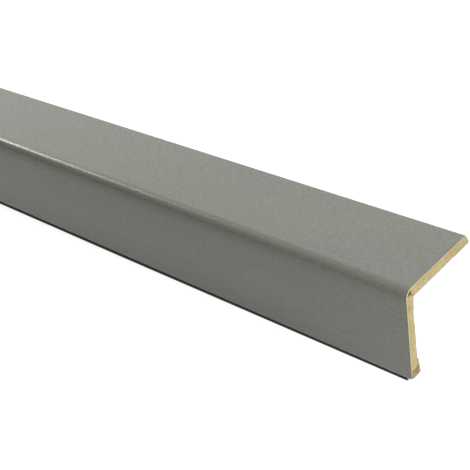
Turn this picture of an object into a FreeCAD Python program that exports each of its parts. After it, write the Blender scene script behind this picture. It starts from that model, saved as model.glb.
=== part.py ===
import FreeCAD, Part
import math
import os
import Sketcher

# Corner guard moulding: two fibreboard leaves under one decor laminate, folded to a right angle.
# The section is drawn as the moulding is fitted on a corner: one leaf across the top and the
# other down the front. "Across" and "down" are counted from the sharp corner that the two
# decor faces would make. The stock then rests like a tent on its two free edges, fold up.

# Driving sizes in millimetres
SIZES = {
    "stock_length": 2600.0,
    "leg_width": 28.0,
    "board_thickness": 2.8,
    "laminate_thickness": 0.4,
    # The fold: outer radius, the hollow under it, and the joint between the mitres, which is
    # open at the hollow and nearly closed at the inner corner
    "fold_radius": 2.4,
    "fold_relief": 1.9,
    "mitre_open": 0.2,
    "mitre_closed": 0.02,
    # The laminate's turned edges, and how deep each is bedded in the back of its leaf
    "tip_radius": 0.5,
    "return_width": 4.7,
    "return_clearance": 0.3,
    "top_bed": 0.4,
    "front_bed": 0.2,
    # The free edge of the top leaf
    "nose_radius": 1.0,
    "nose_bevel": 0.9,
    # The foot of the front leaf, which turns under to a toe behind the leaf
    "foot_radius": 0.5,
    "foot_rise": 0.05,
    "toe_depth": 4.05,
    "toe_strip_height": 2.2,
    "toe_kerf": 0.3,
    "toe_web": 0.4,
    "core_corner_radius": 0.9,
}

# Places worked out from the sizes
PLACES = {
    "leaf_thickness": "Sizes.board_thickness + Sizes.laminate_thickness",
    # Inner radii, where the laminate lies on the boards
    "fold_inside": "Sizes.fold_radius - Sizes.laminate_thickness",
    "tip_inside": "Sizes.tip_radius - Sizes.laminate_thickness",
    "nose_inside": "Sizes.nose_radius - Sizes.laminate_thickness",
    "foot_inside": "Sizes.foot_radius - Sizes.laminate_thickness",
    # Centres of the rounded free edges
    "nose_across": "Sizes.leg_width - Sizes.nose_bevel - Sizes.nose_radius",
    "tip_across": "Sizes.leg_width - Sizes.tip_radius",
    "foot_down": "Sizes.leg_width - Sizes.foot_rise - Sizes.foot_radius",
    "toe_across": "Sizes.toe_depth - Sizes.tip_radius",
    "toe_down": "Sizes.leg_width - Sizes.tip_radius",
    # The turned edges on the backs of the leaves
    "return_end": "Sizes.leg_width - Sizes.return_width",
    "bed_end": "return_end - Sizes.return_clearance",
    "top_bed_down": "leaf_thickness - Sizes.top_bed",
    "tip_down": "top_bed_down + Sizes.laminate_thickness - Sizes.tip_radius",
    "front_bed_across": "leaf_thickness - Sizes.front_bed",
    # The mitres under the fold, each half the joint's width from the line through the corner
    "mitre_heel": "leaf_thickness + Sizes.mitre_closed * sqrt(2) / 2",
    "mitre_tip": "Sizes.fold_relief - Sizes.mitre_open * sqrt(2) / 2",
    "relief_meet": "Sizes.fold_radius - sqrt(fold_inside ^ 2 - (Sizes.fold_radius - Sizes.fold_relief) ^ 2)",
    # The kerf above the toe, and the strip of board turned under with the laminate
    "strip_top": "Sizes.leg_width - Sizes.toe_strip_height",
    "core_end": "strip_top - Sizes.toe_kerf",
    "core_corner_across": "front_bed_across - Sizes.core_corner_radius",
    "core_corner_down": "core_end - Sizes.core_corner_radius",
    "kerf_across": "Sizes.laminate_thickness + Sizes.toe_web",
    "toe_reach": "sqrt((toe_across - front_bed_across) ^ 2 + (toe_down - return_end) ^ 2)",
    "toe_bearing": "atan2(toe_across - front_bed_across; toe_down - return_end)",
    "return_lean": "toe_bearing + asin(tip_inside / toe_reach)",
    "strip_tip_across": "front_bed_across + (core_end - return_end) * tan(return_lean)",
    # How the stock rests: turned until both free edges touch the floor, and centred over the origin
    "rest_turn": "atan2(toe_down - tip_down; tip_across - toe_across)",
    "rest_height": "toe_across * sin(rest_turn) + toe_down * cos(rest_turn) + Sizes.tip_radius",
    "front_reach": "foot_down * sin(rest_turn) - Sizes.foot_radius * cos(rest_turn) + Sizes.foot_radius",
    "nose_reach": "nose_across * cos(rest_turn) - Sizes.nose_radius * sin(rest_turn) + Sizes.nose_radius",
    "rest_shift": "(front_reach - nose_reach) / 2",
}

# Places of corners that lie on an arc, which needs no second tie there
SET_BY_ARC = {"relief_meet"}

# The laminate's inner side, from its end behind the top leaf, over the fold, to its end behind
# the front leaf. Each stop is an arc's centre and radius, or a corner with no radius.
LAMINATE_INSIDE = [
    ("return_end", "top_bed_down", None),
    ("tip_across", "tip_down", "tip_inside"),
    ("nose_across", "nose_radius", "nose_inside"),
    ("fold_radius", "fold_radius", "fold_inside"),
    ("foot_radius", "foot_down", "foot_inside"),
    ("toe_across", "toe_down", "tip_inside"),
    ("front_bed_across", "return_end", None),
]

TOP_BOARD = [
    ("mitre_heel", "leaf_thickness", None),
    ("bed_end", "leaf_thickness", None),
    ("bed_end", "top_bed_down", None),
    ("tip_across", "tip_down", "tip_inside"),
    ("nose_across", "nose_radius", "nose_inside"),
    ("fold_radius", "fold_radius", "fold_inside"),
    ("fold_relief", "relief_meet", None),
    ("fold_relief", "mitre_tip", None),
]

FRONT_BOARD = [
    ("mitre_tip", "fold_relief", None),
    ("relief_meet", "fold_relief", None),
    ("fold_radius", "fold_radius", "fold_inside"),
    ("foot_radius", "foot_down", "foot_inside"),
    ("toe_across", "toe_down", "tip_inside"),
    ("strip_tip_across", "core_end", None),
    ("kerf_across", "strip_top", None),
    ("kerf_across", "core_end", None),
    ("core_corner_across", "core_corner_down", "core_corner_radius"),
    ("front_bed_across", "bed_end", None),
    ("leaf_thickness", "bed_end", None),
    ("leaf_thickness", "mitre_heel", None),
]


def fill_sheet(sheet, entries, prefix):
    """Writes each name and its number or formula on a row, with the name as the alias."""
    for row, (name, content) in enumerate(entries.items(), start=1):
        sheet.set(f"A{row}", name)
        sheet.set(f"B{row}", f"{prefix}{content}")
        sheet.setAlias(f"B{row}", name)


def linked(name):
    """The expression that reads a size or a place from its sheet."""
    return f"Sizes.{name}" if name in SIZES else f"Places.{name}"


def reading(name):
    """The same value as a plain number."""
    value = getattr(sizes if name in SIZES else places, name)
    return float(getattr(value, "Value", value))


def tangent_points(here, there):
    """Ends of the line that leaves one stop and reaches the next, with both arcs on its left."""
    gap = there[0] - here[0]
    turn = math.asin((there[1] - here[1]) / gap.Length)
    heading = math.atan2(gap.y, gap.x) - turn
    left = FreeCAD.Vector(-math.sin(heading), math.cos(heading), 0)
    return here[0] - left * here[1], there[0] - left * there[1]


def draw_outline(sketch, stops, closed=True):
    """Draws lines and arcs through the stops, counter-clockwise, tied to the sheets."""
    placed = []
    for across, down, radius in stops:
        centre = FreeCAD.Vector(reading(across), -reading(down), 0)
        placed.append((centre, reading(radius) if radius else 0.0))
    count = len(stops)
    leaves = [None] * count
    reaches = [None] * count
    is_line = [False] * count
    for index in range(count if closed else count - 1):
        following = (index + 1) % count
        here, there = placed[index], placed[following]
        touching = abs((there[0] - here[0]).Length - abs(there[1] - here[1])) < 1e-6
        if touching:
            meeting = here[0] if there[1] else there[0]
            leaves[index] = reaches[following] = meeting
        else:
            leaves[index], reaches[following] = tangent_points(here, there)
            is_line[index] = True
    chain = []
    for index, (centre, radius) in enumerate(placed):
        if radius:
            start = reaches[index] - centre
            finish = leaves[index] - centre
            circle = Part.Circle(centre, FreeCAD.Vector(0, 0, 1), radius)
            arc = Part.ArcOfCircle(circle, math.atan2(start.y, start.x), math.atan2(finish.y, finish.x))
            chain.append((sketch.addGeometry(arc), index, True))
        if is_line[index]:
            line = Part.LineSegment(leaves[index], reaches[(index + 1) % count])
            chain.append((sketch.addGeometry(line), index, False))
    join_chain(sketch, chain, stops, closed)
    place_chain(sketch, chain, stops, placed)


def join_chain(sketch, chain, stops, closed):
    """Joins each piece of the outline to the next: smoothly at an arc, sharply at a corner."""
    last = len(chain) if closed else len(chain) - 1
    for position in range(last):
        geometry, stop, is_arc = chain[position]
        following, next_stop, next_is_arc = chain[(position + 1) % len(chain)]
        leaves_arc = is_arc and stop == next_stop
        reaches_arc = next_is_arc and (stop + 1) % len(stops) == next_stop
        smooth = leaves_arc or reaches_arc
        kind = "Tangent" if smooth else "Coincident"
        sketch.addConstraint(Sketcher.Constraint(kind, geometry, 2, following, 1))


def place_chain(sketch, chain, stops, placed):
    """Ties each arc's centre and radius, and each corner, to the sheets."""
    first_piece = {}
    for geometry, stop, is_arc in chain:
        first_piece.setdefault(stop, (geometry, is_arc))
    for stop, (across, down, radius) in enumerate(stops):
        if stop in first_piece:
            geometry, is_arc = first_piece[stop]
            point = 3 if is_arc else 1
        else:
            geometry = chain[-1][0] if stop == len(stops) - 1 else first_piece[stop + 1][0]
            point = 2 if stop == len(stops) - 1 else 1
        centre = placed[stop][0]
        if across not in SET_BY_ARC:
            bind(sketch, Sketcher.Constraint("DistanceX", -1, 1, geometry, point, centre.x), across)
        if down not in SET_BY_ARC:
            bind(sketch, Sketcher.Constraint("DistanceY", geometry, point, -1, 1, -centre.y), down)
        if radius:
            bind(sketch, Sketcher.Constraint("Radius", geometry, placed[stop][1]), radius)


def bind(sketch, constraint, name):
    index = sketch.addConstraint(constraint)
    sketch.setExpression(f"Constraints[{index}]", linked(name))


def set_down(piece):
    """Turns a piece from its place on a corner to its rest on the floor."""
    piece.setExpression(
        "Placement",
        "placement(vector(0; Places.rest_shift; Places.rest_height);"
        " rotation(vector(1; 0; 0); -Places.rest_turn))",
    )


def origin_plane(body, role):
    return next(plane for plane in body.Origin.OriginFeatures if plane.Role == role)


def make_leaf(label, stops):
    """One board leaf: its section, padded both ways from the middle of the stock."""
    body = doc.addObject("PartDesign::Body", label)
    body.Label = label
    section = body.newObject("Sketcher::SketchObject", f"{label}_section")
    section.AttachmentSupport = [(origin_plane(body, "YZ_Plane"), "")]
    section.MapMode = "FlatFace"
    doc.recompute()
    draw_outline(section, stops)
    stock = body.newObject("PartDesign::Pad", f"{label}_stock")
    stock.Profile = section
    stock.Midplane = True
    stock.setExpression("Length", linked("stock_length"))
    set_down(body)
    return body


def make_laminate(label):
    """The decor laminate: its inner side, thickened outwards and run along the stock."""
    inside = doc.addObject("Sketcher::SketchObject", f"{label}_inside")
    inside.Placement = FreeCAD.Placement(FreeCAD.Vector(), FreeCAD.Rotation(0.5, 0.5, 0.5, 0.5))
    doc.recompute()
    draw_outline(inside, LAMINATE_INSIDE, closed=False)
    sheet_section = doc.addObject("Part::Offset2D", f"{label}_section")
    sheet_section.Source = inside
    sheet_section.Mode = "Skin"
    sheet_section.Fill = True
    sheet_section.setExpression("Value", linked("laminate_thickness"))
    stock = doc.addObject("Part::Extrusion", label)
    stock.Label = label
    stock.Base = sheet_section
    stock.DirMode = "Custom"
    stock.Dir = FreeCAD.Vector(1, 0, 0)
    stock.Solid = True
    stock.Symmetric = True
    stock.setExpression("LengthFwd", linked("stock_length"))
    set_down(stock)
    return stock


doc = FreeCAD.newDocument("corner_guard_moulding")
sizes = doc.addObject("Spreadsheet::Sheet", "Sizes")
fill_sheet(sizes, SIZES, "")
doc.recompute()
places = doc.addObject("Spreadsheet::Sheet", "Places")
fill_sheet(places, PLACES, "=")
doc.recompute()

pieces = [
    make_leaf("top_leaf_board", TOP_BOARD),
    make_leaf("front_leaf_board", FRONT_BOARD),
    make_laminate("decor_laminate"),
]
doc.recompute()

for item in doc.Objects:
    if "Invalid" in item.State or "Error" in item.State:
        raise RuntimeError(f"{item.Label} did not build: {item.State}")

os.makedirs("parts", exist_ok=True)
for piece in pieces:
    shape = piece.Shape
    if shape.isNull() or not shape.isValid() or len(shape.Solids) != 1:
        raise RuntimeError(f"{piece.Label} is not one sound solid")
    shape.exportStep(os.path.join("parts", f"{piece.Label}.step"))
    box = shape.BoundBox
    print(f"{piece.Label}: {shape.Volume:.1f} mm3, y {box.YMin:.3f} to {box.YMax:.3f},"
          f" z {box.ZMin:.3f} to {box.ZMax:.3f}")
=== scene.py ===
"""Looks of the corner guard moulding: a decor laminate folded over two fibreboard leaves.

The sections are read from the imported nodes, so every piece lies where the solids are. Each piece
is made again with sawn ends whose relief is real mesh, and gets its finish from shader nodes.
"""
import math
from collections import namedtuple

import bpy
import numpy as np
from bpy.props import FloatProperty, FloatVectorProperty, PointerProperty
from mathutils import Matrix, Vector, noise
from mathutils.geometry import delaunay_2d_cdt


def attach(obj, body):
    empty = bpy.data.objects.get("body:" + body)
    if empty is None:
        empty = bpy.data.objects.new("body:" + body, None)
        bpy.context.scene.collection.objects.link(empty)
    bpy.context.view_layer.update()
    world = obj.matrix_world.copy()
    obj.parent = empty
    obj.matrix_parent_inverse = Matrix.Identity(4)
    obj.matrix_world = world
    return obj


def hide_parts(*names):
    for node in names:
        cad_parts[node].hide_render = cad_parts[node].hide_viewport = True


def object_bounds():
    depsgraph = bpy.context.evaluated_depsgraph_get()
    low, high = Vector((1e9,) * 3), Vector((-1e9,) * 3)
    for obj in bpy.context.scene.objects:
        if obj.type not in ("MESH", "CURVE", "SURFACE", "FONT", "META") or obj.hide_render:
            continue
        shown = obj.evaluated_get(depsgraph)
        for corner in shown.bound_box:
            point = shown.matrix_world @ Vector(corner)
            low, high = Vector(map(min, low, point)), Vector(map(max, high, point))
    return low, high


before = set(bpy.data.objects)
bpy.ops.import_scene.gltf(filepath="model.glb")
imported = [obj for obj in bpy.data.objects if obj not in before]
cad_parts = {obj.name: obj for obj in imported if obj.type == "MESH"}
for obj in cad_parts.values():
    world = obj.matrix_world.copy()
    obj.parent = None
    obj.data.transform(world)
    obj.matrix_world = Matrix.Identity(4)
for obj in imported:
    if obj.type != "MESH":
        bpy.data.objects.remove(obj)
PACKED_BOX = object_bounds()

bl_info = {
    "name": "Corner guard moulding",
    "version": (1, 0, 0),
    "blender": (4, 5, 0),
    "location": "View3D > Sidebar > Corner guard",
    "description": "Dresses the packed corner guard moulding and sets its studio",
    "category": "Object",
}

MM = 0.001
# Points closer than this are one point of the section
SAME_POINT = 2e-6
HALF_LENGTH = PACKED_BOX[1].x
# The photograph's side and the camera's distance in pixels behind it
PHOTO_SIDE = 470
FOCAL_PIXELS = 994.1
SENSOR = 36.0
# Gaps between these two are seams: below the first the pieces are bonded, above the second open
TOUCHING = 0.004 * MM
WIDEST_SEAM = 1.3 * MM
# The strip that is turned under the foot, in millimetres from the end of its board
TURNED_STRIP = 1.85
# The broken back of the front leaf at its near end: how far it reaches in, and its depth at places
# along the leaf from the inner corner, all in millimetres
BREAK_WIDTH = 0.9
BROKEN_BACK = ((0.0, 0.12), (1.0, 0.2), (4.0, 0.36), (6.5, 0.52), (9.0, 0.38), (11.5, 0.3),
               (19.3, 0.26), (20.3, 0.0))
# The crushed outer corner of the foot: its height over the floor, its depth and its reach
FOOT_HEIGHT = 2.9 * MM
WORN_DEPTH = 0.4 * MM
WORN_REACH = 0.75 * MM
# No part of a sawn end lies deeper than this, and the first row behind the cut is deeper still
DEEPEST_TEAR = 1.0 * MM
BEHIND_CUT = 1.4 * MM
# How far the painted shade at the foot reaches up the front leaf, in millimetres
FOOT_SHADE_REACH = 12.0
# The cut laminate darkens round the foot's corner: millimetres up the front leaf from the foot's corner,
# and how much
FOOT_DARKENING = ((-4.0, 0.0), (-3.4, 0.5), (-1.2, 0.6), (-0.5, 1.0), (0.6, 0.4), (1.5, 0.0))
# The shade at the foot, across the floor: its outer side at a sawn end and far from it, the length
# over which it widens, its inner side, and how soft its sides are
CONTACT_OUTER = (-20.02 * MM, -20.3 * MM)
CONTACT_TAPER = 110 * MM
CONTACT_INNER = -17.0 * MM
CONTACT_SOFT = 0.12 * MM
# Where the bend dies away into the front leaf, in millimetres, and its slope there
EASE_BEFORE = 0.7
EASE_AFTER = 3.0
EASE_SLOPE = 0.085
# Each board node, its dressed piece, and its broken back
LEAVES = (
    ("top_leaf_board", "top_leaf_fibreboard", None),
    ("front_leaf_board", "front_leaf_fibreboard", BROKEN_BACK),
)

Wall = namedtuple("Wall", "start start_normal finish finish_normal")


class BoardLooks(bpy.types.PropertyGroup):
    """The fibreboard leaves."""

    pale_fibre: FloatVectorProperty(
        name="Pale fibre", description="Lightest tone of the board", subtype="COLOR",
        size=3, default=(0.56, 0.445, 0.222), min=0, max=1)
    mid_fibre: FloatVectorProperty(
        name="Mid fibre", description="Main tone of the board", subtype="COLOR",
        size=3, default=(0.435, 0.338, 0.166), min=0, max=1)
    dark_fibre: FloatVectorProperty(
        name="Dark fibre", description="Darkest tone of the board", subtype="COLOR",
        size=3, default=(0.262, 0.19, 0.085), min=0, max=1)
    # Seam tone: glue at the mitre, and painted shade in the hollow, the kerf and deep in the gaps
    glue_and_shade_tone: FloatVectorProperty(
        name="Seam tone", description="Dusty brown in the mitre, the hollow and the kerf",
        subtype="COLOR", size=3, default=(0.26, 0.18, 0.06), min=0, max=1)
    glue_and_shade_reach: FloatProperty(
        name="Seam reach", description="How far the seam's tone spreads over a sawn end",
        unit="LENGTH", precision=5, default=0.24 * MM, min=0.02 * MM, max=1 * MM)
    # Painted shade on the strip turned under the foot
    strip_shade: FloatProperty(
        name="Turned strip", description="How much darker the strip turned under the foot is",
        default=0.33, min=0, max=1)
    mesh_pitch: FloatProperty(
        name="Mesh pitch", description="Distance between points on a sawn end",
        unit="LENGTH", precision=5, default=0.11 * MM, min=0.05 * MM, max=1 * MM)
    clump_depth: FloatProperty(
        name="Clump depth", description="Relief of the matted fibres on a sawn end",
        unit="LENGTH", precision=5, default=0.08 * MM, min=0, max=0.3 * MM)
    tear_depth: FloatProperty(
        name="Tear-out", description="How far the saw breaks the back edge of a leaf away",
        unit="LENGTH", precision=5, default=0.15 * MM, min=0, max=0.5 * MM)
    break_out: FloatProperty(
        name="Break-out", description="How deeply the back of the front leaf's near end is broken",
        default=1.0, min=0, max=1.5)
    roughness: FloatProperty(
        name="Roughness", description="Roughness of bare board", default=0.92, min=0, max=1)


class LaminateLooks(bpy.types.PropertyGroup):
    """The decor laminate."""

    face: FloatVectorProperty(
        name="Face", description="Main grey of the decor face", subtype="COLOR",
        size=3, default=(0.160, 0.1625, 0.1405), min=0, max=1)
    face_shade: FloatVectorProperty(
        name="Face shade", description="The cooler grey in broad patches", subtype="COLOR",
        size=3, default=(0.145, 0.150, 0.131), min=0, max=1)
    # Painted shade: how dark the face is painted towards the foot
    foot_shade: FloatProperty(
        name="Foot shade", description="How much the handled foot edge of the face darkens",
        default=0.42, min=0, max=1)
    core: FloatVectorProperty(
        name="Core", description="Cream paper under the decor layer", subtype="COLOR",
        size=3, default=(0.57, 0.49, 0.342), min=0, max=1)
    fold_white: FloatProperty(
        name="Fold whitening", description="How much paler the stretched paper is at the fold",
        default=0.55, min=0, max=1)
    decor_layer: FloatProperty(
        name="Decor layer", description="Thickness of the grey layer on the paper",
        unit="LENGTH", precision=5, default=0.03 * MM, min=0, max=0.2 * MM)
    grain_size: FloatProperty(
        name="Grain size", description="Size of a patch of the pressed grain",
        unit="LENGTH", precision=5, default=1.0 * MM, min=0.1 * MM, max=3 * MM)
    grain_depth: FloatProperty(
        name="Grain depth", description="Depth of the pressed grain",
        unit="LENGTH", precision=6, default=0.009 * MM, min=0, max=0.1 * MM)
    mesh_pitch: FloatProperty(
        name="Mesh pitch", description="Distance between points on a sawn end",
        unit="LENGTH", precision=5, default=0.09 * MM, min=0.04 * MM, max=1 * MM)
    chip_depth: FloatProperty(
        name="Edge chips", description="How far the saw nicks the decor edge",
        unit="LENGTH", precision=5, default=0.12 * MM, min=0, max=0.4 * MM)


class StageLooks(bpy.types.PropertyGroup):
    """The floor, the lights and the camera."""

    floor: FloatVectorProperty(
        name="Floor", description="Colour of the floor", subtype="COLOR",
        size=3, default=(0.58, 0.58, 0.577), min=0, max=1)
    floor_glow: FloatProperty(
        name="Floor glow", description="Light that the lit floor sheet gives by itself",
        default=0.77, min=0)
    contact_shade: FloatProperty(
        name="Contact shade", description="Darkness of the thin line of shade at the foot",
        default=0.97, min=0, max=1)
    key_power: FloatProperty(
        name="Key light", description="Power of the large softbox on the top leaf's side",
        unit="POWER", default=181.0, min=0)
    rim_power: FloatProperty(
        name="Rim light", description="Power of the low softbox that shines along the fold",
        unit="POWER", default=95.0, min=0)
    fill_power: FloatProperty(
        name="End fill", description="Power of the small softbox beside the near end",
        unit="POWER", default=0.063, min=0)
    room_strength: FloatProperty(
        name="Room", description="Brightness of the pale room round the stage",
        default=1.05, min=0)


def corner_of(mesh, loop):
    """A face corner's place in the section, and its normal there."""
    place = mesh.vertices[mesh.loops[loop].vertex_index].co
    normal = mesh.corner_normals[loop].vector
    return np.array((place.y, place.z)), np.array((normal.y, normal.z))


def turn_between(first, second):
    """Signed angle from one direction of the section to another."""
    cross = first[0] * second[1] - first[1] * second[0]
    return math.atan2(cross, float(np.dot(first, second)))


def section_walls(node):
    """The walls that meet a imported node's near end, in order and counter-clockwise seen from there."""
    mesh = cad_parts[node].data
    near = max(vertex.co.x for vertex in mesh.vertices)
    loose = []
    for face in mesh.polygons:
        if abs(face.normal.x) > 0.5:
            continue
        rim = [loop for loop in face.loop_indices
               if mesh.vertices[mesh.loops[loop].vertex_index].co.x > near - SAME_POINT]
        if len(rim) != 2:
            continue
        (start, start_normal), (finish, finish_normal) = (corner_of(mesh, loop) for loop in rim)
        if turn_between(finish - start, start_normal + finish_normal) > 0:
            start, start_normal, finish, finish_normal = finish, finish_normal, start, start_normal
        loose.append(Wall(start, start_normal, finish, finish_normal))
    chain = [loose.pop(0)]
    while loose:
        here = chain[-1].finish
        gaps = [np.linalg.norm(wall.start - here) for wall in loose]
        if min(gaps) > SAME_POINT:
            raise RuntimeError(f"{node}: the section does not close")
        chain.append(loose.pop(int(np.argmin(gaps))))
    return chain


def wall_length(wall):
    return float(np.linalg.norm(wall.finish - wall.start))


def is_flat(wall):
    return abs(turn_between(wall.start_normal, wall.finish_normal)) < 1e-3


def points_on(wall, pitch):
    """Points along a wall, without its last, on the wall's own arc where it is rounded."""
    steps = max(1, math.ceil(wall_length(wall) / pitch))
    shares = np.arange(steps) / steps
    turn = turn_between(wall.start_normal, wall.finish_normal)
    if is_flat(wall):
        return wall.start + shares[:, None] * (wall.finish - wall.start)
    radius = wall_length(wall) / (2 * math.sin(turn / 2))
    centre = wall.start - wall.start_normal * radius
    bearing = math.atan2(wall.start_normal[1], wall.start_normal[0]) + shares * turn
    return centre + radius * np.column_stack((np.cos(bearing), np.sin(bearing)))


class Section:
    """A node's section as a closed outline of close points, with its corners and its flat faces."""

    def __init__(self, node, pitch):
        self.walls = section_walls(node)
        runs = [points_on(wall, pitch) for wall in self.walls]
        self.outline = np.vstack(runs)
        self.wall_of = np.repeat(np.arange(len(runs)), [len(run) for run in runs])
        starts = np.cumsum([0] + [len(run) for run in runs[:-1]])
        self.corners = [
            int(start) for index, start in enumerate(starts)
            if abs(turn_between(self.walls[index - 1].finish_normal,
                                self.walls[index].start_normal)) > 0.2
        ]
        facing_down = [wall for wall in self.walls if is_flat(wall) and wall.start_normal[1] < 0]
        self.back = max(facing_down, key=wall_length)

    def leaf_places(self, points):
        """Along the leaf, and out through its bare back, in millimetres, for points of the section."""
        through = self.back.start_normal
        along = np.array((-through[1], through[0]))
        relative = points - self.back.start
        return np.column_stack((relative @ along, relative @ through)) / MM


def nearest_on(chain, points):
    """For each point: how far along an open chain its nearest place is, and its distance from it."""
    start, run = chain[:-1], np.diff(chain, axis=0)
    lengths = np.linalg.norm(run, axis=1)
    before = np.concatenate(([0.0], np.cumsum(lengths)[:-1]))
    offset = points[:, None, :] - start[None, :, :]
    share = np.clip((offset * run).sum(2) / np.maximum(lengths ** 2, 1e-18), 0, 1)
    gap = np.linalg.norm(offset - share[:, :, None] * run, axis=2)
    best = gap.argmin(1)
    rows = np.arange(len(points))
    return before[best] + share[rows, best] * lengths[best], gap[rows, best]


def wall_runs(section, chosen):
    """Outline points of the chosen walls, as one open chain for each unbroken run of them."""
    runs, count = [], len(section.walls)
    for index in sorted(chosen):
        points = section.outline[section.wall_of == index]
        finish = section.walls[index].finish
        if runs and np.linalg.norm(runs[-1][-1] - section.walls[index].start) < SAME_POINT:
            runs[-1] = np.vstack((runs[-1], points[1:], finish))
        else:
            runs.append(np.vstack((points, finish)))
    return runs


def glue_and_shade_mark(section, outlines, co, reach):
    """Share of the seam's tone at each vertex, glue at the mitre and painted shade in the gaps: 1 in the
    gaps between pieces, 0 past the reach.
    """
    runs = wall_runs(section, seam_walls(section, outlines))
    gap = np.min([in_blocks(lambda block: nearest_on(run, block)[1], co[:, 1:]) for run in runs], axis=0)
    return np.clip(1.3 - gap / reach, 0, 1)


def seam_walls(section, outlines):
    """Walls that face another wall across a narrow gap: the mitre, the hollow and the kerf."""
    starts = np.vstack(outlines)
    runs = np.vstack([np.roll(outline, -1, axis=0) - outline for outline in outlines])
    chosen = []
    for index, wall in enumerate(section.walls):
        points = np.vstack((section.outline[section.wall_of == index], wall.finish))
        middle = (points[(len(points) - 1) // 2] + points[len(points) // 2]) / 2
        normal = wall.start_normal + wall.finish_normal
        normal /= np.linalg.norm(normal)
        offset = starts - middle
        with np.errstate(divide="ignore", invalid="ignore"):
            across = normal[0] * runs[:, 1] - normal[1] * runs[:, 0]
            reach = (offset[:, 0] * runs[:, 1] - offset[:, 1] * runs[:, 0]) / across
            share = (offset[:, 0] * normal[1] - offset[:, 1] * normal[0]) / across
        met = reach[(share >= 0) & (share <= 1) & (reach > -SAME_POINT)]
        met = met[(met > 1e-9) | (met < -1e-9)]
        if len(met) and TOUCHING < met.min() < WIDEST_SEAM:
            chosen.append(index)
    return chosen


def inside_points(section, pitch, seed):
    """Scattered points inside the outline, about one pitch apart and clear of its edge."""
    outline = section.outline
    low, high = outline.min(0), outline.max(0)
    across = np.arange(low[0], high[0], pitch)
    rows = np.arange(low[1], high[1], pitch * math.sqrt(3) / 2)
    grid = np.array([(y + pitch / 2 * (row % 2), z) for row, z in enumerate(rows) for y in across])
    scatter = np.random.default_rng(seed)
    grid += scatter.uniform(-0.22, 0.22, grid.shape) * pitch
    following = np.roll(outline, -1, axis=0)
    inside = np.zeros(len(grid), bool)
    for (y0, z0), (y1, z1) in zip(outline, following):
        crosses = (z0 > grid[:, 1]) != (z1 > grid[:, 1])
        with np.errstate(divide="ignore", invalid="ignore"):
            meets = y0 + (grid[:, 1] - z0) * (y1 - y0) / (z1 - z0)
        inside ^= crosses & (grid[:, 0] < meets)
    grid = grid[inside]
    clear = np.concatenate([
        nearest_on(np.vstack((outline, outline[:1])), block)[1] > 0.55 * pitch
        for block in np.array_split(grid, max(1, len(grid) // 400))
    ])
    return grid[clear]


def triangulate(section, inner):
    """Triangles of a sawn end: outline points come first, then the inner ones."""
    points = np.vstack((section.outline, inner)) / MM
    count = len(section.outline)
    coords = [Vector(point) for point in points]
    result = delaunay_2d_cdt(coords, [], [list(range(count))], 1, 1e-7)
    if len(result[0]) != len(points):
        raise RuntimeError("the sawn end did not keep its points")
    origin = [sources[0] for sources in result[3]]
    return [tuple(origin[corner] for corner in triangle) for triangle in result[2]]


def stock_mesh(name, section, pitch, relief, inner_seed):
    """Stock of one section with two sawn ends.

    relief(points, is_rim, end) gives how far each point of a sawn end lies inside the full length.
    """
    inner = inside_points(section, pitch, inner_seed)
    triangles = triangulate(section, inner)
    outline = section.outline
    count = len(outline)
    end_points = np.vstack((outline, inner))
    is_rim = np.arange(len(end_points)) < count
    # Rows along the stock: just behind each sawn end, then evenly
    spread = np.linspace(HALF_LENGTH - BEHIND_CUT, BEHIND_CUT - HALF_LENGTH, 14)
    near_depth = relief(end_points, is_rim, 1)
    far_depth = relief(end_points, is_rim, -1)
    blocks = [np.column_stack((HALF_LENGTH - near_depth, end_points))]
    blocks += [np.column_stack((np.full(count, x), outline)) for x in spread]
    blocks += [np.column_stack((far_depth - HALF_LENGTH, end_points))]
    vertices = np.vstack(blocks)
    row_starts = [0] + [len(end_points) + index * count for index in range(len(spread))]
    far_start = row_starts[-1] + count
    row_starts.append(far_start)
    faces, wall_of_face = [], []
    for here, there in zip(row_starts[:-1], row_starts[1:]):
        for index in range(count):
            after = (index + 1) % count
            faces.append((here + index, there + index, there + after, here + after))
            wall_of_face.append(int(section.wall_of[index]))
    faces += triangles
    faces += [tuple(far_start + corner for corner in reversed(triangle)) for triangle in triangles]
    wall_of_face += [-1] * (2 * len(triangles))
    mesh = bpy.data.meshes.new(name)
    mesh.from_pydata(vertices.tolist(), [], faces)
    mesh.polygons.foreach_set("use_smooth", [True] * len(faces))
    corner_columns = set(section.corners)
    rims = (range(0, count), range(far_start, far_start + count))
    column_of = {}
    for start in row_starts:
        for index in section.corners:
            column_of[start + index] = index
    for edge in mesh.edges:
        first, second = edge.vertices
        on_rim = any(first in rim and second in rim for rim in rims)
        on_corner = first in column_of and column_of.get(second) == column_of[first]
        if on_rim or (on_corner and corner_columns):
            edge.use_edge_sharp = True
    mesh.validate()
    return mesh, np.array(wall_of_face)


def store_places(mesh, places):
    """Keeps each vertex's own place in the stock, in millimetres, for the shader nodes."""
    attribute = mesh.attributes.new("stock_place", "FLOAT_VECTOR", "POINT")
    attribute.data.foreach_set("vector", places.astype(np.float32).ravel())


def store_mark(mesh, name, values):
    """Keeps a number at each vertex for the shader nodes."""
    attribute = mesh.attributes.new(name, "FLOAT", "POINT")
    attribute.data.foreach_set("value", values.astype(np.float32))


def in_blocks(work, points):
    """Runs a function of points in blocks, to keep its tables small."""
    blocks = np.array_split(points, max(1, len(points) // 400))
    return np.concatenate([work(block) for block in blocks])


def mesh_places(mesh):
    co = np.zeros(len(mesh.vertices) * 3)
    mesh.vertices.foreach_get("co", co)
    return co.reshape(-1, 3)


def show_piece(name, mesh, materials, node):
    """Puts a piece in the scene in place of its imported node."""
    piece = bpy.data.objects.new(name, mesh)
    bpy.context.scene.collection.objects.link(piece)
    for material in materials:
        mesh.materials.append(material)
    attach(piece, "root")
    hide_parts(node)
    return piece


def fractal(x, y, z, octaves):
    return noise.fractal(Vector((x, y, z)), 0.9, 2.1, octaves)


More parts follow.
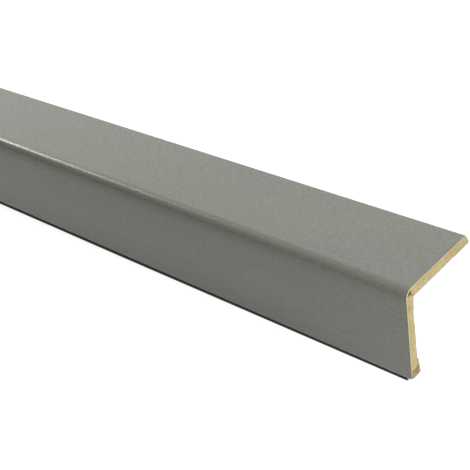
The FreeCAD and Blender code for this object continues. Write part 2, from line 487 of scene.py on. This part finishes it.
def board_relief(section, looks, seed, broken):
    """How deep each point of a board's sawn end lies: matted clumps, pits, saw marks and tear-out.

    broken is a table of depths along the back at the near end, or None.
    """
    inner_corner = max(section.back.start, section.back.finish, key=lambda point: point[1])
    heel = section.leaf_places(inner_corner[None])[0, 0]

    def depths(points, is_rim, end):
        found = np.zeros(len(points))
        shift = seed * 31.7 + end * 7.3
        for index, (along, through) in enumerate(section.leaf_places(points)):
            clump = 0.5 + 0.5 * fractal(along / 1.1, through / 0.26, shift, 4)
            pit = max(0.0, fractal(along / 0.42, through / 0.17, shift + 9, 2) - 0.35)
            mark = 0.5 + 0.5 * math.sin(math.tau * (along + 0.3 * through) / 0.34)
            depth = looks.clump_depth * (0.75 * min(max(clump, 0), 1) + 0.1 * mark)
            depth += looks.clump_depth * 1.4 * min(pit, 0.8)
            if is_rim[index]:
                depth *= 0.5
            # Tear-out reaches in from the bare back face
            if -0.45 < through:
                tear = max(0.0, fractal(along / 1.9, 0.4, shift + 21, 3) - 0.12)
                depth += looks.tear_depth * min(tear, 1.0) * (1 + through / 0.45)
            if broken and end > 0 and through > -BREAK_WIDTH:
                deep = float(np.interp(abs(along - heel), *zip(*broken)))
                ragged = 0.9 + 0.25 * fractal(along / 0.8, 0.7, shift + 33, 3)
                depth += looks.break_out * deep * MM * ragged * (1 + through / BREAK_WIDTH)
            found[index] = depth
        return np.clip(found + worn_corner(points, end), 0.002 * MM, DEEPEST_TEAR)

    return depths


def worn_corner(points, end):
    """How far the foot's outer corner is crushed back at the near end of the stock."""
    if end < 0:
        return np.zeros(len(points))
    corner = np.array((PACKED_BOX[0].y, FOOT_HEIGHT))
    apart = np.linalg.norm(points - corner, axis=1)
    return WORN_DEPTH * np.exp(-(apart / WORN_REACH) ** 2)


def add_node(tree, kind, inputs=None, **settings):
    """A shader node with its settings, and its inputs by name: values, or sockets to link."""
    made = tree.nodes.new(kind)
    for key, value in settings.items():
        setattr(made, key, value)
    for key, value in (inputs or {}).items():
        socket = made.inputs[key]
        if isinstance(value, bpy.types.NodeSocket):
            tree.links.new(value, socket)
        else:
            socket.default_value = value
    return made


def calc(tree, operation, *values):
    """A Math node's result."""
    made = add_node(tree, "ShaderNodeMath", dict(enumerate(values)), operation=operation)
    return made.outputs[0]


def ramp(tree, value, *stops):
    """A colour ramp's result. Each stop is a place and a colour or a grey."""
    made = add_node(tree, "ShaderNodeValToRGB", {"Fac": value})
    elements = made.color_ramp.elements
    while len(elements) < len(stops):
        elements.new(0.5)
    for element, (place, colour) in zip(elements, stops):
        element.position = place
        element.color = (*colour, 1) if hasattr(colour, "__len__") else (colour, colour, colour, 1)
    return made.outputs["Color"]


def blend(tree, share, first, second, mode="MIX"):
    """A colour mix: share of the second over the first."""
    made = add_node(tree, "ShaderNodeMix", data_type="RGBA", blend_type=mode)
    for index, value in ((0, share), (6, first), (7, second)):
        socket = made.inputs[index]
        if isinstance(value, bpy.types.NodeSocket):
            tree.links.new(value, socket)
        elif index == 0:
            socket.default_value = value
        else:
            socket.default_value = (*value, 1)
    return made.outputs[2]


def new_group(name, inputs, outputs):
    """An empty shader node group with named sockets."""
    group = bpy.data.node_groups.new(name, "ShaderNodeTree")
    for label, kind, default in inputs:
        socket = group.interface.new_socket(name=label, in_out="INPUT", socket_type=kind)
        if default is not None:
            socket.default_value = default
    for label, kind in outputs:
        group.interface.new_socket(name=label, in_out="OUTPUT", socket_type=kind)
    return group, group.nodes.new("NodeGroupInput"), group.nodes.new("NodeGroupOutput")


def use_group(tree, group, **inputs):
    """Places a group in a material, its inputs named with underscores for spaces."""
    named = {key.replace("_", " "): value for key, value in inputs.items()}
    made = tree.nodes.new("ShaderNodeGroup")
    made.node_tree = group
    for key, value in named.items():
        if isinstance(value, bpy.types.NodeSocket):
            tree.links.new(value, made.inputs[key])
        else:
            made.inputs[key].default_value = value
    return made


def mottle_group():
    """Uneven tone: soft patches of a given size, stretched along the stock's own axes."""
    if "stock_mottle" in bpy.data.node_groups:
        return bpy.data.node_groups["stock_mottle"]
    group, given, result = new_group(
        "stock_mottle",
        [("Place", "NodeSocketVector", None), ("Patch Size", "NodeSocketVector", (1, 1, 1)),
         ("Detail", "NodeSocketFloat", 3.0), ("Contrast", "NodeSocketFloat", 1.0)],
        [("Mask", "NodeSocketFloat")],
    )
    scaled = add_node(group, "ShaderNodeVectorMath",
                      {0: given.outputs["Place"], 1: given.outputs["Patch Size"]}, operation="DIVIDE")
    cloud = add_node(group, "ShaderNodeTexNoise",
                     {"Vector": scaled.outputs[0], "Scale": 1.0, "Detail": given.outputs["Detail"],
                      "Roughness": 0.6})
    centred = calc(group, "SUBTRACT", cloud.outputs["Fac"], 0.5)
    widened = calc(group, "MULTIPLY", centred, given.outputs["Contrast"])
    mask = calc(group, "ADD", widened, 0.5)
    clamped = add_node(group, "ShaderNodeClamp", {"Value": mask})
    group.links.new(clamped.outputs[0], result.inputs["Mask"])
    return group


def cut_edge_group():
    """Wear at the sawn ends: a ragged mask that is 1 at the cut and fades within the reach."""
    if "cut_edge" in bpy.data.node_groups:
        return bpy.data.node_groups["cut_edge"]
    group, given, result = new_group(
        "cut_edge",
        [("Place", "NodeSocketVector", None), ("Half Length", "NodeSocketFloat", 1300.0),
         ("Reach", "NodeSocketFloat", 0.3), ("Ragged", "NodeSocketFloat", 0.2)],
        [("Mask", "NodeSocketFloat")],
    )
    apart = add_node(group, "ShaderNodeSeparateXYZ", {0: given.outputs["Place"]})
    from_middle = calc(group, "ABSOLUTE", apart.outputs["X"])
    from_cut = calc(group, "SUBTRACT", given.outputs["Half Length"], from_middle)
    cloud = add_node(group, "ShaderNodeTexNoise",
                     {"Vector": given.outputs["Place"], "Scale": 2.2, "Detail": 3.0})
    wander = calc(group, "MULTIPLY", calc(group, "SUBTRACT", cloud.outputs["Fac"], 0.5),
                  given.outputs["Ragged"])
    share = calc(group, "DIVIDE", calc(group, "ADD", from_cut, wander), given.outputs["Reach"])
    mask = add_node(group, "ShaderNodeClamp", {"Value": calc(group, "SUBTRACT", 1.0, share)})
    group.links.new(mask.outputs[0], result.inputs["Mask"])
    return group


def new_material(name):
    """A material with its shader, and the stock's own place as a vector."""
    material = bpy.data.materials.new(name)
    material.use_nodes = True
    tree = material.node_tree
    shader = tree.nodes["Principled BSDF"]
    place = add_node(tree, "ShaderNodeAttribute", attribute_name="stock_place").outputs["Vector"]
    return material, tree, shader, place


def fibreboard_material(looks):
    """Bare board: matted fibres in layers, pale and dark, with a few dark shives."""
    material, tree, shader, place = new_material("fibreboard")
    layers = use_group(tree, mottle_group(), Place=place, Patch_Size=(1.1, 1.5, 0.4),
                       Detail=5.0, Contrast=2.6).outputs["Mask"]
    fibres = use_group(tree, mottle_group(), Place=place, Patch_Size=(0.35, 0.42, 0.13),
                       Detail=3.0, Contrast=2.2).outputs["Mask"]
    broad = use_group(tree, mottle_group(), Place=place, Patch_Size=(6.0, 3.0, 2.2),
                      Detail=2.0, Contrast=2.4).outputs["Mask"]
    tone = calc(tree, "ADD", calc(tree, "MULTIPLY", layers, 0.5), calc(tree, "MULTIPLY", fibres, 0.3))
    tone = calc(tree, "ADD", tone, calc(tree, "MULTIPLY", broad, 0.2))
    colour = ramp(tree, tone, (0.18, looks.dark_fibre), (0.42, looks.mid_fibre), (0.75, looks.pale_fibre))
    shives = use_group(tree, mottle_group(), Place=place, Patch_Size=(0.5, 0.8, 0.09),
                       Detail=1.0, Contrast=6.0).outputs["Mask"]
    rare = calc(tree, "MULTIPLY", calc(tree, "GREATER_THAN", shives, 0.97), 0.45)
    colour = blend(tree, rare, colour, looks.dark_fibre)
    worn = use_group(tree, cut_edge_group(), Place=place, Half_Length=HALF_LENGTH / MM, Reach=0.5,
                     Ragged=0.3).outputs["Mask"]
    colour = blend(tree, calc(tree, "MULTIPLY", worn, 0.12), colour, looks.mid_fibre)
    # Painted shade: the strip turned under the foot is darkened
    strip = add_node(tree, "ShaderNodeAttribute", attribute_name="turned_strip").outputs["Fac"]
    strip = calc(tree, "MULTIPLY", strip, calc(tree, "ADD", 0.75, calc(tree, "MULTIPLY", fibres, 0.5)))
    strip = add_node(tree, "ShaderNodeClamp", {"Value": strip}).outputs[0]
    pressed_grain_and_strip_shade = (1 - looks.strip_shade,) * 3
    colour = blend(tree, strip, colour, pressed_grain_and_strip_shade, "MULTIPLY")
    # Painted shade in the gaps, with glue at the mitre
    seam = add_node(tree, "ShaderNodeAttribute", attribute_name="seam").outputs["Fac"]
    colour = blend(tree, calc(tree, "MULTIPLY", seam, 0.86), colour, looks.glue_and_shade_tone)
    tree.links.new(colour, shader.inputs["Base Color"])
    shader.inputs["Roughness"].default_value = looks.roughness
    shader.inputs["Specular IOR Level"].default_value = 0.25
    bump = add_node(tree, "ShaderNodeBump",
                    {"Strength": 0.8, "Distance": 0.03 * MM, "Height": fibres})
    tree.links.new(bump.outputs["Normal"], shader.inputs["Normal"])
    return material


def decor_face_material(looks):
    """The decor face: satin grey with a fine pressed grain and slightly uneven tone."""
    material, tree, shader, place = new_material("decor_face")
    broad = use_group(tree, mottle_group(), Place=place, Patch_Size=(46.0, 19.0, 19.0),
                      Detail=2.0, Contrast=1.8).outputs["Mask"]
    speckle = use_group(tree, mottle_group(), Place=place, Patch_Size=(1.5, 1.2, 1.2),
                        Detail=1.0, Contrast=2.2).outputs["Mask"]
    colour = blend(tree, broad, looks.face, looks.face_shade)
    colour = blend(tree, 1.0, colour, ramp(tree, speckle, (0.0, 1.06), (1.0, 0.87)), "MULTIPLY")
    wrinkles = use_group(tree, mottle_group(), Place=place, Patch_Size=(0.8, 0.5, 0.5),
                         Detail=0.5, Contrast=2.8).outputs["Mask"]
    colour = blend(tree, 1.0, colour, ramp(tree, wrinkles, (0.0, 1.12), (1.0, 0.91)), "MULTIPLY")
    drift = use_group(tree, mottle_group(), Place=place, Patch_Size=(140.0, 70.0, 70.0),
                      Detail=1.0, Contrast=2.0).outputs["Mask"]
    tint = blend(tree, drift, (0.985, 1.0, 1.0), (1.03, 0.99, 0.98))
    colour = blend(tree, 1.0, colour, tint, "MULTIPLY")
    worn = use_group(tree, cut_edge_group(), Place=place, Half_Length=HALF_LENGTH / MM, Reach=0.28,
                     Ragged=0.2).outputs["Mask"]
    scuffed = tuple(0.6 * value for value in looks.face)
    colour = blend(tree, calc(tree, "MULTIPLY", worn, 0.5), colour, scuffed)
    # Painted shade: the face darkens towards the foot, fading out near the sawn end
    foot = add_node(tree, "ShaderNodeAttribute", attribute_name="foot_shade").outputs["Fac"]
    apart = add_node(tree, "ShaderNodeSeparateXYZ", {0: place})
    from_middle = calc(tree, "ABSOLUTE", apart.outputs["X"])
    half = HALF_LENGTH / MM
    behind = add_node(tree, "ShaderNodeMapRange",
                      {"Value": from_middle, "From Min": half - 4.0, "From Max": half - 40.0})
    foot = calc(tree, "MULTIPLY", foot, behind.outputs["Result"])
    shaded = tuple(0.12 * value for value in looks.face)
    colour = blend(tree, calc(tree, "MULTIPLY", foot, looks.foot_shade), colour, shaded)
    tree.links.new(colour, shader.inputs["Base Color"])
    rough = add_node(tree, "ShaderNodeMapRange", {"Value": speckle, "To Min": 0.25, "To Max": 0.33})
    tree.links.new(rough.outputs["Result"], shader.inputs["Roughness"])
    pressed_grain_and_strip_shade = use_group(tree, mottle_group(), Place=place, Patch_Size=(looks.grain_size / MM,) * 3,
                        Detail=1.5, Contrast=1.6).outputs["Mask"]
    grain = calc(tree, "ADD", pressed_grain_and_strip_shade, calc(tree, "MULTIPLY", speckle, 0.35))
    ease = add_node(tree, "ShaderNodeAttribute", attribute_name="fold_ease").outputs["Fac"]
    height = calc(tree, "ADD", calc(tree, "MULTIPLY", grain, looks.grain_depth / MM), ease)
    bump = add_node(tree, "ShaderNodeBump", {"Strength": 1.0, "Distance": MM, "Height": height})
    tree.links.new(bump.outputs["Normal"], shader.inputs["Normal"])
    return material


def paper_core_material(looks, glue_and_shade_tone):
    """Cut edges and back of the laminate: cream paper plies under the thin grey decor layer."""
    material, tree, shader, place = new_material("paper_core")
    apart = add_node(tree, "ShaderNodeSeparateXYZ", {0: place})
    below_face = apart.outputs["Z"]
    plies = use_group(tree, mottle_group(), Place=place, Patch_Size=(1.4, 1.4, 0.09),
                      Detail=3.0, Contrast=2.0).outputs["Mask"]
    deep = tuple(0.72 * value for value in looks.core)
    colour = blend(tree, calc(tree, "MULTIPLY", plies, 0.6), looks.core, deep)
    wander = use_group(tree, mottle_group(), Place=place, Patch_Size=(0.5, 0.5, 0.5),
                       Detail=2.0, Contrast=1.5).outputs["Mask"]
    ragged = calc(tree, "ADD", 0.7, calc(tree, "MULTIPLY", wander, 0.6))
    layer = calc(tree, "MULTIPLY", looks.decor_layer / MM, ragged)
    stretched = add_node(tree, "ShaderNodeAttribute", attribute_name="fold_white").outputs["Fac"]
    colour = blend(tree, calc(tree, "MULTIPLY", stretched, looks.fold_white), colour, (0.93, 0.86, 0.72))
    # The cut edge is darker round the foot's corner
    darkening = add_node(tree, "ShaderNodeAttribute", attribute_name="foot_darkening").outputs["Fac"]
    colour = blend(tree, calc(tree, "MULTIPLY", darkening, 0.75), colour, (0.15, 0.145, 0.11))
    printed = calc(tree, "LESS_THAN", below_face, layer)
    colour = blend(tree, printed, colour, tuple(0.8 * value for value in looks.face))
    worn = use_group(tree, cut_edge_group(), Place=place, Half_Length=HALF_LENGTH / MM, Reach=0.4,
                     Ragged=0.3).outputs["Mask"]
    colour = blend(tree, calc(tree, "MULTIPLY", worn, 0.1), colour, deep)
    # Painted shade in the gaps, with glue at the mitre
    seam = add_node(tree, "ShaderNodeAttribute", attribute_name="seam").outputs["Fac"]
    colour = blend(tree, calc(tree, "MULTIPLY", seam, 0.85), colour, glue_and_shade_tone)
    tree.links.new(colour, shader.inputs["Base Color"])
    shader.inputs["Roughness"].default_value = 0.8
    shader.inputs["Specular IOR Level"].default_value = 0.3
    bump = add_node(tree, "ShaderNodeBump", {"Strength": 0.6, "Distance": 0.01 * MM, "Height": plies})
    tree.links.new(bump.outputs["Normal"], shader.inputs["Normal"])
    return material


class CORNERGUARD_OT_leaf_boards(bpy.types.Operator):
    """Makes the two fibreboard leaves with their sawn ends"""

    bl_idname = "corner_guard.leaf_boards"
    bl_label = "Make leaf boards"

    def execute(self, context):
        looks = context.scene.corner_guard_board
        material = fibreboard_material(looks)
        nodes = [leaf[0] for leaf in LEAVES] + ["decor_laminate"]
        sections = {node: Section(node, looks.mesh_pitch) for node in nodes}
        outlines = [section.outline for section in sections.values()]
        for seed, (node, name, broken) in enumerate(LEAVES, start=1):
            section = sections[node]
            relief = board_relief(section, looks, seed, broken)
            mesh, wall_of_face = stock_mesh(name, section, looks.mesh_pitch, relief, seed)
            co = mesh_places(mesh)
            leaf = section.leaf_places(co[:, 1:])
            store_places(mesh, np.column_stack((co[:, 0] / MM, leaf[:, 0] + 60 * seed, leaf[:, 1])))
            behind = (HALF_LENGTH - np.abs(co[:, 0])) / MM
            # Painted shade on the walls inside the gaps up to 7 mm behind the cut, with glue at the mitre
            seam = glue_and_shade_mark(section, outlines, co, looks.glue_and_shade_reach)
            store_mark(mesh, "seam", seam * np.clip(7.0 - behind, 0, 1))
            outer = leaf[np.argmin(co[:, 2]), 0]
            depth = np.abs(leaf[:, 0] - outer) if broken else np.full(len(co), 9.0)
            store_mark(mesh, "turned_strip", np.clip((TURNED_STRIP + 0.2 - depth) / 0.4, 0, 1))
            show_piece(name, mesh, [material], node)
        return {"FINISHED"}


def ease_height(past):
    """Swelling of the front leaf just past the fold, in millimetres, from the distance past it.

    The folded laminate does not lie flat at once: its slope grows over the end of the bend and
    dies away on the leaf.
    """
    before = np.clip(past + EASE_BEFORE, 0, EASE_BEFORE)
    after = np.clip(past, 0, EASE_AFTER)
    return EASE_SLOPE * (before ** 2 / (2 * EASE_BEFORE) + after - after ** 2 / (2 * EASE_AFTER))


def laminate_face_chain(section):
    """Outline points of the decor side, from one turned edge to the other, and which walls they are."""
    flat = [index for index, wall in enumerate(section.walls) if is_flat(wall)]
    first, second = sorted(sorted(flat, key=lambda index: wall_length(section.walls[index]))[:2])
    count = len(section.walls)
    runs = [list(range(first + 1, second)),
            list(range(second + 1, count)) + list(range(0, first))]
    face_walls = max(runs, key=lambda run: sum(wall_length(section.walls[index]) for index in run))
    chosen = np.vstack([section.outline[section.wall_of == index] for index in face_walls])
    return np.vstack((chosen, section.walls[face_walls[-1]].finish)), face_walls


class CORNERGUARD_OT_decor_laminate(bpy.types.Operator):
    """Makes the decor laminate with its grained face and sawn edges"""

    bl_idname = "corner_guard.decor_laminate"
    bl_label = "Make decor laminate"

    def execute(self, context):
        looks = context.scene.corner_guard_laminate
        section = Section("decor_laminate", looks.mesh_pitch)
        chain, face_walls = laminate_face_chain(section)
        thickness = nearest_on(chain, section.outline)[1].max()

        def sheet_places(points):
            found = in_blocks(lambda block: np.column_stack(nearest_on(chain, block)), points)
            return found[:, 0], found[:, 1]

        def relief(points, is_rim, end):
            along, below = sheet_places(points)
            depth = np.zeros(len(points))
            for index in range(len(points)):
                place = along[index] / MM
                rough = 0.5 + 0.5 * fractal(place / 0.5, below[index] / MM / 0.12, 3.3 * end, 3)
                nick = max(0.0, fractal(place / 0.7, 0, 40 + end, 3) - 0.3)
                near_face = max(0.0, 1 - below[index] / (0.45 * thickness))
                depth[index] = 0.02 * MM * rough + looks.chip_depth * nick * near_face
            return np.clip(depth + worn_corner(points, end), 0.001 * MM, DEEPEST_TEAR)

        mesh, wall_of_face = stock_mesh("decor_laminate_sheet", section, looks.mesh_pitch, relief, 7)
        co = mesh_places(mesh)
        outlines = [section.outline] + [Section(leaf[0], looks.mesh_pitch).outline for leaf in LEAVES]
        store_mark(mesh, "seam", glue_and_shade_mark(section, outlines, co, 0.08 * MM))
        along, below = sheet_places(co[:, 1:])
        store_places(mesh, np.column_stack((co[:, 0], along, below)) / MM)
        front = max((section.walls[index] for index in face_walls if is_flat(section.walls[index])
                     and section.walls[index].start_normal[0] < 0), key=wall_length)
        fold_end, foot = sorted((front.start, front.finish), key=lambda point: -point[1])
        apex = chain[np.argmax(chain[:, 1])]
        places, _ = sheet_places(np.array((fold_end, foot, apex)))
        down = (along - places[0]) / (places[1] - places[0])
        past = down * wall_length(front) / MM
        store_mark(mesh, "fold_ease", ease_height(past))
        to_foot = wall_length(front) / MM - past
        # Painted shade towards the foot of the front leaf
        store_mark(mesh, "foot_shade", np.clip(1 - to_foot / FOOT_SHADE_REACH, 0, 1) ** 1.3)
        store_mark(mesh, "foot_darkening", np.interp(to_foot, *zip(*FOOT_DARKENING)))
        store_mark(mesh, "fold_white", np.exp(-((along - places[2]) / (1.9 * MM)) ** 2))
        is_face = np.isin(wall_of_face, face_walls)
        mesh.materials.clear()
        mesh.polygons.foreach_set("material_index", np.where(is_face, 0, 1))
        glue_and_shade_tone = context.scene.corner_guard_board.glue_and_shade_tone
        materials = [decor_face_material(looks), paper_core_material(looks, glue_and_shade_tone)]
        show_piece("decor_laminate_sheet", mesh, materials, "decor_laminate")
        return {"FINISHED"}


def place_camera(scene):
    """The photograph's camera: it looks down along the stock from beyond its near end, rolled."""
    data = bpy.data.cameras.new("photo_camera")
    data.sensor_width = SENSOR
    data.lens = SENSOR * FOCAL_PIXELS / PHOTO_SIDE
    data.clip_start = 0.01
    camera = bpy.data.objects.new("photo_camera", data)
    scene.collection.objects.link(camera)
    right = Vector((0.740191, 0.346238, -0.5764)).normalized()
    ahead = Vector((-0.611408, -0.010163, -0.79125)).normalized()
    up = right.cross(ahead).normalized()
    right = ahead.cross(up)
    turn = camera.matrix_world.to_3x3()
    turn.col[0], turn.col[1], turn.col[2] = right, up, -ahead
    camera.matrix_world = turn.to_4x4()
    camera.location = (1.408428, 0.001909, 0.231154)
    scene.camera = camera


def softbox(scene, name, place, target, size, power, tint):
    """A rectangular area light that faces a point."""
    data = bpy.data.lights.new(name, "AREA")
    data.shape = "RECTANGLE"
    data.size, data.size_y = size
    data.energy = power
    data.color = tint
    lamp = bpy.data.objects.new(name, data)
    scene.collection.objects.link(lamp)
    lamp.location = place
    lamp.rotation_mode = "QUATERNION"
    lamp.rotation_quaternion = (Vector(target) - Vector(place)).to_track_quat("-Z", "Y")
    lamp.visible_camera = False


def pale_room(scene, strength):
    """The room as the world: pale side walls, a dimmer ceiling, and dark behind the far end."""
    world = bpy.data.worlds.new("pale_room")
    scene.world = world
    world.use_nodes = True
    tree = world.node_tree
    direction = add_node(tree, "ShaderNodeTexCoord").outputs["Generated"]
    apart = add_node(tree, "ShaderNodeSeparateXYZ", {0: direction})
    walls = ramp(tree, apart.outputs["Z"], (0.0, 1.0), (0.45, 0.5), (1.0, 0.65))
    sideways = add_node(tree, "ShaderNodeMapRange", {"Value": apart.outputs["Y"], "From Min": -1.0})
    sides = ramp(tree, sideways.outputs["Result"], (0.03, 1.0), (0.12, 0.62), (0.24, 0.35), (0.6, 0.35),
                 (0.82, 0.62), (0.97, 0.78))
    tone = blend(tree, 1.0, walls, sides, "MULTIPLY")
    tone = blend(tree, 1.0, tone, (1.0, 1.0, 0.97), "MULTIPLY")
    background = tree.nodes["Background"]
    tree.links.new(tone, background.inputs["Color"])
    background.inputs["Strength"].default_value = strength


def contact_mask(tree):
    """1 on the floor's thin strip along the foot, from the floor's own places, and 0 elsewhere."""
    place = add_node(tree, "ShaderNodeTexCoord").outputs["Object"]
    apart = add_node(tree, "ShaderNodeSeparateXYZ", {0: place})
    from_middle = calc(tree, "ABSOLUTE", apart.outputs["X"])
    outer = add_node(tree, "ShaderNodeMapRange", {
        "Value": from_middle, "From Min": HALF_LENGTH, "From Max": HALF_LENGTH - CONTACT_TAPER,
        "To Min": CONTACT_OUTER[0], "To Max": CONTACT_OUTER[1]}).outputs["Result"]
    ramps = (
        (calc(tree, "SUBTRACT", apart.outputs["Y"], outer), -CONTACT_SOFT, 0.0),
        (apart.outputs["Y"], CONTACT_INNER, CONTACT_INNER - CONTACT_SOFT),
        (from_middle, HALF_LENGTH - 1.9 * MM, HALF_LENGTH - 2.7 * MM),
    )
    mask = 1.0
    for value, zero, full in ramps:
        edge = add_node(tree, "ShaderNodeMapRange", {"Value": value, "From Min": zero, "From Max": full})
        mask = calc(tree, "MULTIPLY", mask, edge.outputs["Result"])
    return mask


class CORNERGUARD_OT_stage(bpy.types.Operator):
    """Makes the pale floor, the soft lights and the camera"""

    bl_idname = "corner_guard.stage"
    bl_label = "Make stage"

    def execute(self, context):
        scene = context.scene
        looks = scene.corner_guard_stage
        half = 14.0
        mesh = bpy.data.meshes.new("floor")
        mesh.from_pydata([(-half, -half, 0), (half, -half, 0), (half, half, 0), (-half, half, 0)], [],
                         [(0, 1, 2, 3)])
        floor = bpy.data.objects.new("floor", mesh)
        scene.collection.objects.link(floor)
        material = bpy.data.materials.new("floor_paint")
        material.use_nodes = True
        tree = material.node_tree
        shader = tree.nodes["Principled BSDF"]
        shade = calc(tree, "MULTIPLY", contact_mask(tree), looks.contact_shade)
        tree.links.new(blend(tree, shade, looks.floor, (0, 0, 0)), shader.inputs["Base Color"])
        tree.links.new(blend(tree, shade, (1.0, 1.0, 0.995), (0, 0, 0)), shader.inputs["Emission Color"])
        shader.inputs["Roughness"].default_value = 0.85
        shader.inputs["Specular IOR Level"].default_value = 0.1
        shader.inputs["Emission Strength"].default_value = looks.floor_glow
        mesh.materials.append(material)
        pale_room(scene, looks.room_strength)
        softbox(scene, "key_softbox", (3.4, 3.6, 2.5), (0.4, 0, 0), (3.0, 2.4), looks.key_power,
                (0.9, 0.985, 1.0))
        softbox(scene, "rim_softbox", (-2.45, 1.42, 1.53), (1.155, 0, 0), (1.0, 1.8), looks.rim_power,
                (1.0, 0.96, 0.88))
        softbox(scene, "low_rim_softbox", (-2.45, 2.03, 0.47), (1.155, 0, 0), (1.0, 0.8),
                0.065 * looks.rim_power, (1.0, 0.98, 0.92))
        softbox(scene, "end_fill", (1.37, -0.055, 0.105), (1.30, 0, 0.01), (0.06, 0.06), looks.fill_power,
                (1.0, 0.995, 0.98))
        scene.view_settings.view_transform = "Standard"
        place_camera(scene)
        return {"FINISHED"}


class CORNERGUARD_PT_panel(bpy.types.Panel):
    """Sizes, colours and buttons of the corner guard moulding"""

    bl_idname = "CORNERGUARD_PT_panel"
    bl_label = "Corner guard moulding"
    bl_space_type = "VIEW_3D"
    bl_region_type = "UI"
    bl_category = "Corner guard"

    def draw(self, context):
        groups = (
            (context.scene.corner_guard_board, CORNERGUARD_OT_leaf_boards),
            (context.scene.corner_guard_laminate, CORNERGUARD_OT_decor_laminate),
            (context.scene.corner_guard_stage, CORNERGUARD_OT_stage),
        )
        for looks, operator in groups:
            box = self.layout.box()
            for name in looks.__annotations__:
                box.prop(looks, name)
            box.operator(operator.bl_idname)


GROUPS = {
    "corner_guard_board": BoardLooks,
    "corner_guard_laminate": LaminateLooks,
    "corner_guard_stage": StageLooks,
}
CLASSES = (
    BoardLooks,
    LaminateLooks,
    StageLooks,
    CORNERGUARD_OT_leaf_boards,
    CORNERGUARD_OT_decor_laminate,
    CORNERGUARD_OT_stage,
    CORNERGUARD_PT_panel,
)


def register():
    for item in CLASSES:
        bpy.utils.register_class(item)
    for name, group in GROUPS.items():
        setattr(bpy.types.Scene, name, PointerProperty(type=group))


def unregister():
    for name in GROUPS:
        delattr(bpy.types.Scene, name)
    for item in reversed(CLASSES):
        bpy.utils.unregister_class(item)


def main():
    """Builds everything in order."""
    register()
    bpy.ops.corner_guard.stage()
    bpy.ops.corner_guard.leaf_boards()
    bpy.ops.corner_guard.decor_laminate()


if __name__ == "__main__":
    main()
